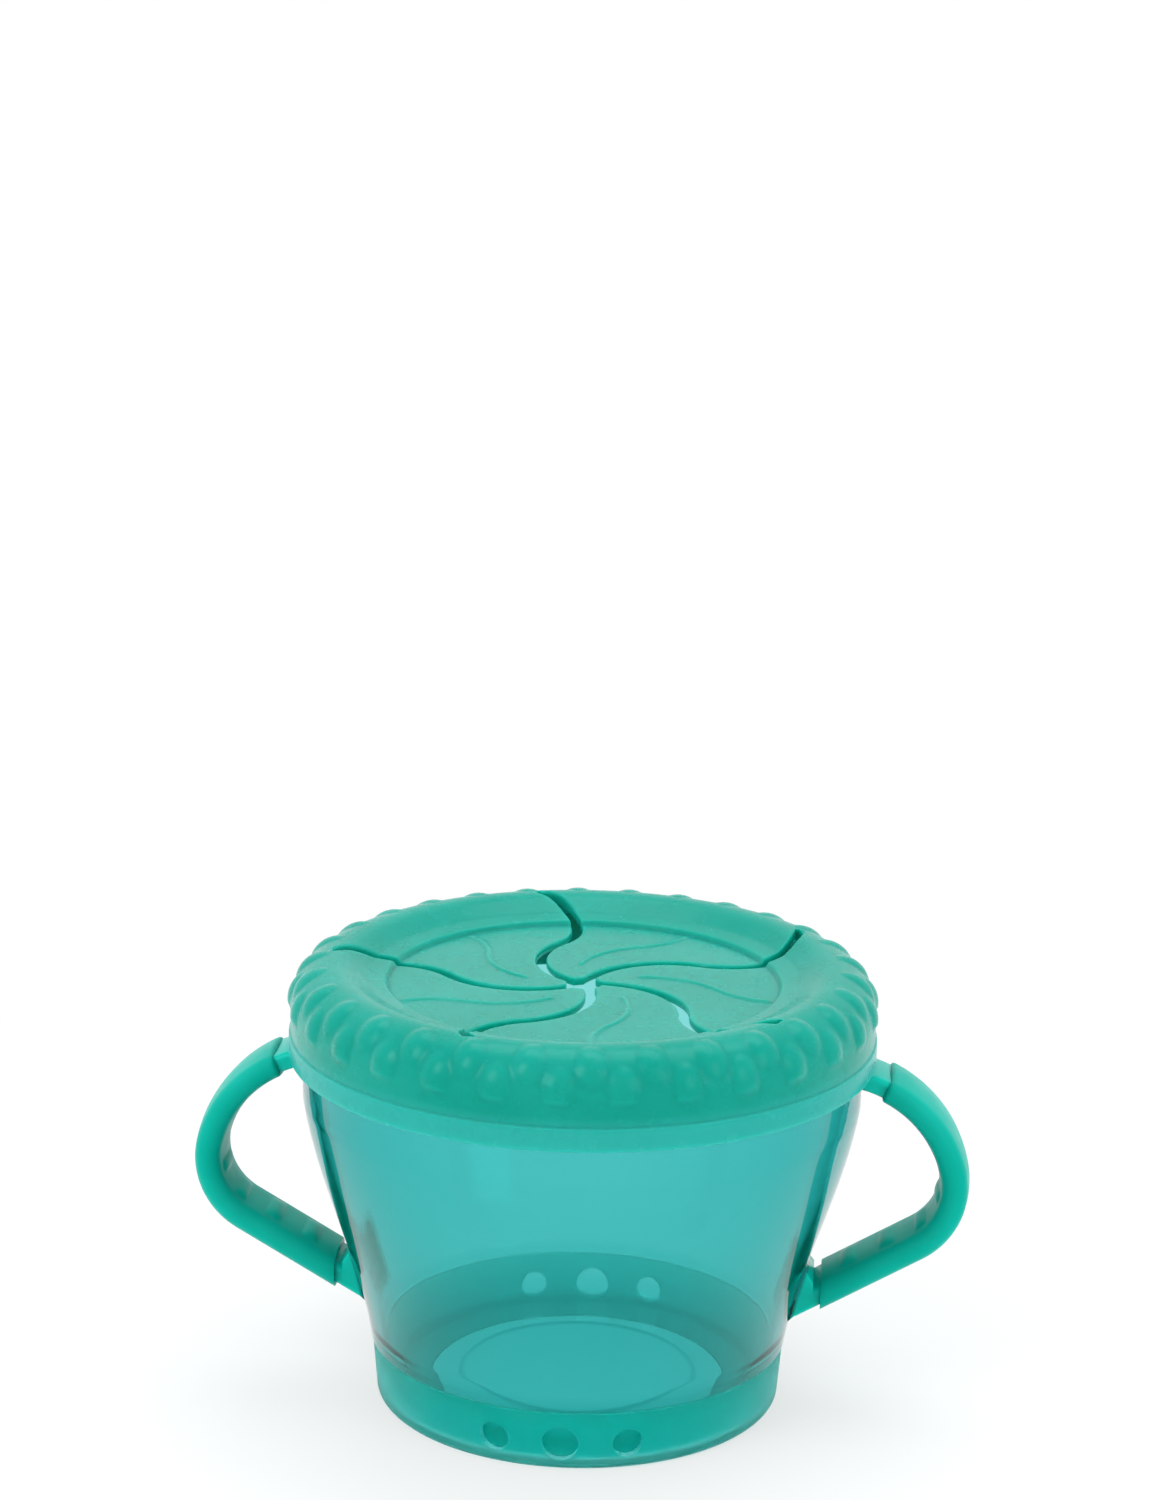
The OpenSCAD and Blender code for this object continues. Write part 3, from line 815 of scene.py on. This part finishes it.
def build_grip(side, material):
    """The soft sleeve: a rounded strap with low finger pads inside the loop."""
    path = handle_path(GRIP_START, GRIP_END_X, GRIP_STEPS, GRIP_STEPS, GRIP_STEPS)
    points = np.array([p for p, _ in path])
    along = np.concatenate([[0], np.cumsum(np.hypot(*np.diff(points, axis=0).T))])
    first_pad = along[-1] - LAST_PAD - PAD_PITCH * (PAD_COUNT - 1)
    rings = []
    for (point, angle), s in zip(path, along):
        shrink = float(edge_drop(s, GRIP_END_ROUND))
        section = strap_section(grip_thickness(angle) - 2 * shrink, GRIP_W - 2 * shrink)
        pad = sum(pad_height(s - first_pad - i * PAD_PITCH) for i in range(PAD_COUNT))
        section = [(x - (pad * pad_across(y) if x < 0 else 0), y) for x, y in section]
        rings.append(ring_on_path(point, angle, section))
    slope = math.tan(math.radians(ARM_SLOPE))
    end = [(GRIP_END_X, y, z - (x - GRIP_END_X) * slope) for x, y, z in rings[-1]]
    rings = [ring for ring, point in zip(rings[:-1], points)
             if min(p[0] for p in ring) > GRIP_END_X + 0.05 or point[1] > TURN_C[1]] + [end]
    sign = 1 if side == "right" else -1
    rings = [[(sign * x, y, z) for x, y, z in ring] for ring in rings]
    grip = sweep(f"soft_grip_{side}", rings)
    bevel(grip, GRIP_EDGE, 60)
    shade(grip, 45)
    return finished(grip, material, "cup", [f"grip_{side}"])


def pad_height(ds):
    """How far a pad stands out at a distance along the loop from its middle."""
    return PAD_UP * max(1 - (ds / PAD_HALF_L) ** 2, 0) ** 0.8


def pad_across(y):
    """The share of a pad's height at a distance y from the loop's middle plane."""
    return max(1 - (abs(y) / PAD_HALF_W) ** 4, 0) ** 0.8


def strap_section(thickness, width):
    """Points round the sleeve: nearly half-round sides, and faces that are crowned between them."""
    half = thickness / 2
    side = half - CROWN
    flat = width / 2 - side
    lean = math.degrees(math.atan(2 * CROWN / flat))
    points = arc((0, flat), side, lean, 180 - lean, 14)
    points += [(-half + CROWN * (y / flat) ** 2, y) for y in np.linspace(flat, -flat, 24)[1:-1]]
    points += arc((0, -flat), side, 180 + lean, 360 - lean, 14)
    points += [(half - CROWN * (y / flat) ** 2, y) for y in np.linspace(-flat, flat, 24)[1:-1]]
    return points


# ------------------------------------------------------------------ lid

SLIT_TIP = 0.85
SLIT_TIP_R = CREST_R + SLIT_TIP
EDGE_ROUND = 0.4
PETAL_CORNER = 0.8
PETAL_COLUMNS = 70
RING_COLUMNS = 150
SLIT_LINE = polar_line(np.linspace(0.3, CREST_R, 240))
RIB_LINE = polar_line(np.linspace(RIB_START_R, DISC_R - 0.8, 160), SLIT_PITCH / 2)
# Distances of a sector's first columns from its edge, and the width below which they shrink
EDGE_COLUMNS = (0.0, 0.06, 0.15, 0.28, 0.45)
FULL_WIDTH = 2.4


def half_angle(r, round_from=None):
    """Angle from a slit's middle to its edge at the radius r: the tip closes in a round end.

    A petal's corner is rounded, beginning at the radius round_from.
    """
    r = np.asarray(r, float)
    half = slit_half_angle(np.minimum(r, CREST_R))
    past = np.clip((r - CREST_R) / (SLIT_TIP_R - CREST_R), 0, 1)
    half = half * np.sqrt(1 - past ** 2)
    if round_from is not None:
        half = half + edge_drop(r - round_from, PETAL_CORNER) / r
    return half


def sector_angles(r, columns, round_from=None):
    """Polar angles of a sector's columns at the radius r: some near each edge, the rest even."""
    middle = float(slit_angle(min(r, SLIT_TIP_R)))
    half = float(half_angle(r, round_from))
    start = middle + half
    end = middle + math.radians(SLIT_PITCH) - half
    width = (end - start) * r
    edge = np.array(EDGE_COLUMNS) * min(1.0, width / FULL_WIDTH)
    between = np.linspace(edge[-1], width - edge[-1], columns)[1:-1]
    return start + np.concatenate([edge, between, width - edge[::-1]]) / r


def lobe_reach(angles, phi):
    """Distance of the quilted shoulder from its bend's centre at each angle round the lid.

    The direction phi is in degrees up from the lid's side, and the lobes are balls that blend.
    """
    out = SHOULDER_R + LOBE_UP - LOBE_R
    best = np.full(angles.shape, SHOULDER_R)
    d = unit(phi)
    pitch = 2 * math.pi / LOBES
    for row, shift in LOBE_ROWS:
        a = ((angles / pitch - shift + 0.5) % 1 - 0.5) * pitch
        centre_r = CREST_R + out * unit(row)[0]
        centre = np.stack([centre_r * np.cos(a) - CREST_R, centre_r * np.sin(a),
                           np.full(a.shape, out * unit(row)[1])])
        b = centre[0] * d[0] + centre[2] * d[1]
        inside = b ** 2 - (centre ** 2).sum(0) + LOBE_R ** 2
        reach = np.where(inside > 0, b + np.sqrt(np.maximum(inside, 0)), 0)
        share = np.clip(0.5 + 0.5 * (reach - best) / LOBE_BLEND, 0, 1)
        best = best * (1 - share) + reach * share + LOBE_BLEND * share * (1 - share)
    return best


def under_z(r):
    """Height of the lid's underside inside the crest."""
    heights = [DISC_Z - DISC_T, slope_z(LEDGE_R) - SKIN, CREST_Z - SKIN]
    return np.interp(r, [DISC_R, LEDGE_R, CREST_R], heights)


def slope_z(r):
    """Height of the lid's top between the disc's edge and the crest."""
    slope = math.tan(math.radians(SLOPE_A))
    top_x = CREST_R - SLOPE_R * math.sin(math.radians(SLOPE_A))
    top_z = CREST_Z - SLOPE_R * (1 - math.cos(math.radians(SLOPE_A)))
    low_z = top_z - (top_x - LEDGE_R) * slope
    if r >= top_x:
        return CREST_Z - SLOPE_R + math.sqrt(max(SLOPE_R ** 2 - (r - CREST_R) ** 2, 0))
    if r >= LEDGE_R:
        return low_z + (r - LEDGE_R) * slope
    t = (r - DISC_R) / (LEDGE_R - DISC_R)
    foot = DISC_Z + LEDGE_UP * float(smooth(np.array(t / LEDGE_SHARE)))
    past = max((t - LEDGE_SHARE) / (1 - LEDGE_SHARE), 0)
    return foot + (low_z - DISC_Z - LEDGE_UP) * past


def lid_outside():
    """The lid's section outside the slits' ends: over the shoulder, down the lip and up inside.

    It is a list of ("shoulder", degrees) and then of ("point", (radius, height)).
    """
    first = math.degrees(math.acos((SLIT_TIP_R - CREST_R) / SHOULDER_R))
    rows = [("shoulder", phi) for phi in np.linspace(90, 0, 44) if phi < first]
    side = [(SIDE_R, z) for z in np.linspace(SHOULDER_Z, EDGE_Z + LIP_H, 6)[1:]]
    side += [(LIP_R, EDGE_Z + LIP_H - LIP_OUT), (LIP_R, EDGE_Z + 1.6)]
    side += arc((LIP_R - LIP_ROUND, EDGE_Z + LIP_ROUND), LIP_ROUND, 0, -90, 5)
    side += arc((SKIRT_IN_R + SKIRT_ROUND, EDGE_Z + SKIRT_ROUND), SKIRT_ROUND, -90, -180, 4)
    side += [(SKIRT_IN_R, z) for z in np.linspace(EDGE_Z + 1.5, SEAT_Z - 0.8, 6)]
    side += [(COLLAR_R, SEAT_Z), (LID_BORE_R, SEAT_Z), (LID_BORE_R - BORE_CHAMFER, SEAT_Z + SKIN)]
    side += [(SLIT_TIP_R, under_at_tip())]
    return rows + [("point", p) for p in side]


def under_at_tip():
    """Height of the lid's underside at the slits' tips, between the crest and the bore."""
    t = (SLIT_TIP_R - CREST_R) / (LID_BORE_R - BORE_CHAMFER - CREST_R)
    return (CREST_Z - SKIN) * (1 - t) + (SEAT_Z + SKIN) * t


def build_lid_ring(material):
    """The lid outside the disc's edge, with the slits' outer ends open in it."""
    step_end = DISC_R + 1.2
    open_r = np.concatenate([np.linspace(DISC_R, step_end, 7)[:-1],
                             np.linspace(step_end, CREST_R, 26)[:-1],
                             np.linspace(CREST_R, SLIT_TIP_R, 8)])
    verts, faces = [], []
    for k in range(SLITS):
        turn = math.radians(k * SLIT_PITCH)
        rows = [sector_angles(r, RING_COLUMNS) + turn for r in open_r]
        grid = [ring_points(angles, r, ring_top_z(r)) for angles, r in zip(rows, open_r)]
        outer_angles = rows[-1]
        for kind, value in lid_outside():
            if kind == "shoulder":
                reach = lobe_reach(outer_angles, value)
                c, s = unit(value)
                r = CREST_R + reach * c
                grid.append(np.stack([r * np.cos(outer_angles), r * np.sin(outer_angles),
                                      SHOULDER_Z + reach * s], 1))
            else:
                grid.append(ring_points(outer_angles, *value))
        for angles, r in zip(rows[-2::-1], open_r[-2::-1]):
            grid.append(ring_points(angles, r, under_z(r) if r <= CREST_R else under_at_tip()))
        add_sector(verts, faces, grid, len(open_r))
    verts = np.array(verts)
    shape_top(verts)
    ring = new_object("soft_lid_ring", verts, faces, 40)
    return finished(ring, material, "lid", ["lid"])


def ring_top_z(r):
    """Height of the lid's top between the disc's edge and the slits' tips."""
    if r <= CREST_R:
        return slope_z(r)
    return SHOULDER_Z + math.sqrt(SHOULDER_R ** 2 - (r - CREST_R) ** 2)


def ring_points(angles, r, z):
    """Points at these angles on a level circle."""
    heights = np.full(angles.shape, float(z))
    return np.stack([r * np.cos(angles), r * np.sin(angles), heights], 1)


def add_sector(verts, faces, grid, open_rows):
    """Adds a closed loop of rows as faces, with walls along the slit beside the open rows."""
    base = len(verts)
    count, width = len(grid), len(grid[0])
    for row in grid:
        verts.extend(row)
    for i in range(count):
        j = (i + 1) % count
        for c in range(width - 1):
            low, high = base + i * width + c, base + j * width + c
            faces.append([low, high, high + 1, low + 1])
    for i in range(open_rows - 1):
        rows = (i, i + 1, count - 2 - i, count - 1 - i)
        for c in (0, width - 1):
            faces.append([base + row * width + c for row in rows])


def shape_top(verts):
    """Rounds the slits' edges above and below, and raises the ribs on the top."""
    r = np.hypot(verts[:, 0], verts[:, 1])
    near_slits = np.where(r < SLIT_TIP_R + 1.0)[0]
    places = verts[near_slits, :2]
    drop = edge_drop(distance_to_line(places, SLIT_LINE) - SLIT_W / 2, EDGE_ROUND)
    middle = np.array([(slope_z(x) + under_z(x)) / 2 if x > DISC_R else HINGE_Z
                       for x in r[near_slits]])
    is_top = verts[near_slits, 2] > middle
    rise = RIB_UP * smooth(1.35 * (1 - distance_to_line(places, RIB_LINE) / (RIB_W / 2)))
    verts[near_slits, 2] += np.where(is_top, rise - drop, drop)


def build_flap(k, material):
    """One petal: the disc between two slits, as far as the disc's edge."""
    radii = np.concatenate([STAR_R + np.array(EDGE_COLUMNS),
                            np.linspace(STAR_R + 0.7, DISC_R, 64)])
    turn = math.radians(k * SLIT_PITCH)
    top, low = [], []
    for r in radii:
        angles = sector_angles(r, PETAL_COLUMNS, STAR_R) + turn
        drop = edge_drop(r - STAR_R, EDGE_ROUND)
        top.append(ring_points(angles, r, DISC_Z - drop))
        low.append(ring_points(angles, r, DISC_Z - DISC_T + drop))
    verts, faces = [], []
    add_sector(verts, faces, top + low[::-1], len(top))
    verts = np.array(verts)
    shape_top(verts)
    petal = new_object(f"petal_{k + 1}", verts, faces, 50)
    petal.data.materials.append(material)
    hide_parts(f"flap_{k + 1}")
    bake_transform(petal)
    return petal


# ------------------------------------------------------------------ stage, light and camera

# The camera's place in millimetres and its angles in degrees; the orbit turns it round the object
PHOTO_W = 1159
FOCAL_PX = 3600.0
SENSOR_MM = 36.0
CAMERA_AT = Vector((0.0, -555.03, 249.52))
CAMERA_PITCH = 14.236
CAMERA_YAW = 0.137
CAMERA_ROLL = 0.956
ORBIT = 4.321


def build_camera():
    """The camera that sees the object as the photograph does."""
    data = bpy.data.cameras.new("photo_view")
    data.sensor_fit = "HORIZONTAL"
    data.sensor_width = SENSOR_MM
    data.lens = FOCAL_PX / PHOTO_W * SENSOR_MM
    data.clip_start, data.clip_end = 0.01, 50.0
    camera = bpy.data.objects.new("photo_view", data)
    bpy.context.scene.collection.objects.link(camera)
    camera.location = Matrix.Rotation(math.radians(ORBIT), 3, "Z") @ (CAMERA_AT * MM)
    turn = Matrix.Rotation(math.radians(ORBIT + CAMERA_YAW), 3, "Z")
    tilt = Matrix.Rotation(math.radians(90 - CAMERA_PITCH), 3, "X")
    roll = Matrix.Rotation(math.radians(CAMERA_ROLL), 3, "Z")
    camera.rotation_euler = (turn @ tilt @ roll).to_euler()
    bpy.context.scene.camera = camera


# The table in metres: half its side, its drop under the object, and where it fades to white
TABLE_HALF = 8.0
TABLE_DOWN = 0.0001
TABLE_FADE = (0.06, 0.22)
TABLE_PALE = (0.90, 0.91, 0.91, 1.0)


def build_floor():
    """A pale table that keeps the object's soft shadow and fades to white round it."""
    corners = [(x * TABLE_HALF, y * TABLE_HALF, 0) for x, y in ((-1, -1), (1, -1), (1, 1), (-1, 1))]
    mesh = bpy.data.meshes.new("table")
    mesh.from_pydata(corners, [], [(0, 1, 2, 3)])
    table = bpy.data.objects.new("table", mesh)
    bpy.context.scene.collection.objects.link(table)
    table.location.z = -TABLE_DOWN
    n = Nodes("pale_table")
    distance = n.add("ShaderNodeVectorMath", {0: n.place}, operation="LENGTH").outputs["Value"]
    fade = n.spread(distance, *TABLE_FADE, 0.6, 1.0)
    path = n.add("ShaderNodeLightPath").outputs
    by_eye = n.math("MULTIPLY", path["Is Camera Ray"], fade)
    mirrored = n.math("MAXIMUM", path["Is Glossy Ray"], path["Is Transmission Ray"])
    through = n.math("MULTIPLY", mirrored, 0.92)
    pale = n.add("ShaderNodeBsdfDiffuse", {"Color": TABLE_PALE}).outputs[0]
    white = n.add("ShaderNodeEmission", {"Color": (1, 1, 1, 1), "Strength": 1.0}).outputs[0]
    mesh.materials.append(n.finish(n.mix_shader(n.math("MAXIMUM", by_eye, through), pale, white)))


def build_world():
    """A soft even light, seen as pure white by the camera and through the clear plastic."""
    world = bpy.data.worlds.new("studio")
    bpy.context.scene.world = world
    world.use_nodes = True
    tree = world.node_tree
    tree.nodes.clear()
    out = tree.nodes.new("ShaderNodeOutputWorld")
    path = tree.nodes.new("ShaderNodeLightPath").outputs
    seen = tree.nodes.new("ShaderNodeMath")
    seen.operation = "MAXIMUM"
    tree.links.new(path["Is Camera Ray"], seen.inputs[0])
    tree.links.new(path["Is Transmission Ray"], seen.inputs[1])
    light = tree.nodes.new("ShaderNodeBackground")
    sky = tree.nodes.new("ShaderNodeBackground")
    mix = tree.nodes.new("ShaderNodeMixShader")
    light.inputs["Color"].default_value = (0.97, 0.99, 1.0, 1.0)
    light.inputs["Strength"].default_value = 0.9
    sky.inputs["Color"].default_value = (1, 1, 1, 1)
    tree.links.new(seen.outputs[0], mix.inputs[0])
    tree.links.new(light.outputs[0], mix.inputs[1])
    tree.links.new(sky.outputs[0], mix.inputs[2])
    tree.links.new(mix.outputs[0], out.inputs["Surface"])


LIGHTS_AIM = Vector((0, 0, 0.04))


def softbox(name, place, size, power, tint=(1.0, 1.0, 1.0)):
    """A rectangular lamp at a place in metres, turned to the object's middle."""
    data = bpy.data.lights.new(name, "AREA")
    data.shape = "RECTANGLE"
    data.size, data.size_y = size
    data.energy = power
    data.color = tint
    lamp = bpy.data.objects.new(name, data)
    bpy.context.scene.collection.objects.link(lamp)
    lamp.location = place
    aim = LIGHTS_AIM - Vector(place)
    lamp.rotation_euler = aim.to_track_quat("-Z", "Y").to_euler()


def build_lights():
    """A key lamp on the left, a weaker one on the right and one from above."""
    softbox("key", (-0.75, -0.85, 0.95), (0.55, 0.8), 5.6)
    softbox("fill", (0.95, -0.7, 0.6), (0.5, 0.9), 2.6, (0.97, 0.99, 1.0))
    softbox("top", (0.1, 0.35, 1.25), (1.1, 0.7), 5.4)


# ------------------------------------------------------------------ the scene

build_camera()
build_world()
build_lights()
build_floor()

clear_plastic = cup_material()
soft_band = soft_material("soft_band", BAND_TEAL, BAND_TEAL_WORN, 0.42, 3.0, 0.8)
soft_grip = soft_material("soft_grip", SOFT_TEAL, SOFT_TEAL_WORN, 0.34, 1.2)
soft_lid = lid_material()

build_cup(clear_plastic)
build_band(soft_band)
for side in ("left", "right"):
    build_grip(side, soft_grip)
build_lid_ring(soft_lid)
for number in range(SLITS):
    build_flap(number, soft_lid)

bpy.context.scene.view_settings.view_transform = "Standard"
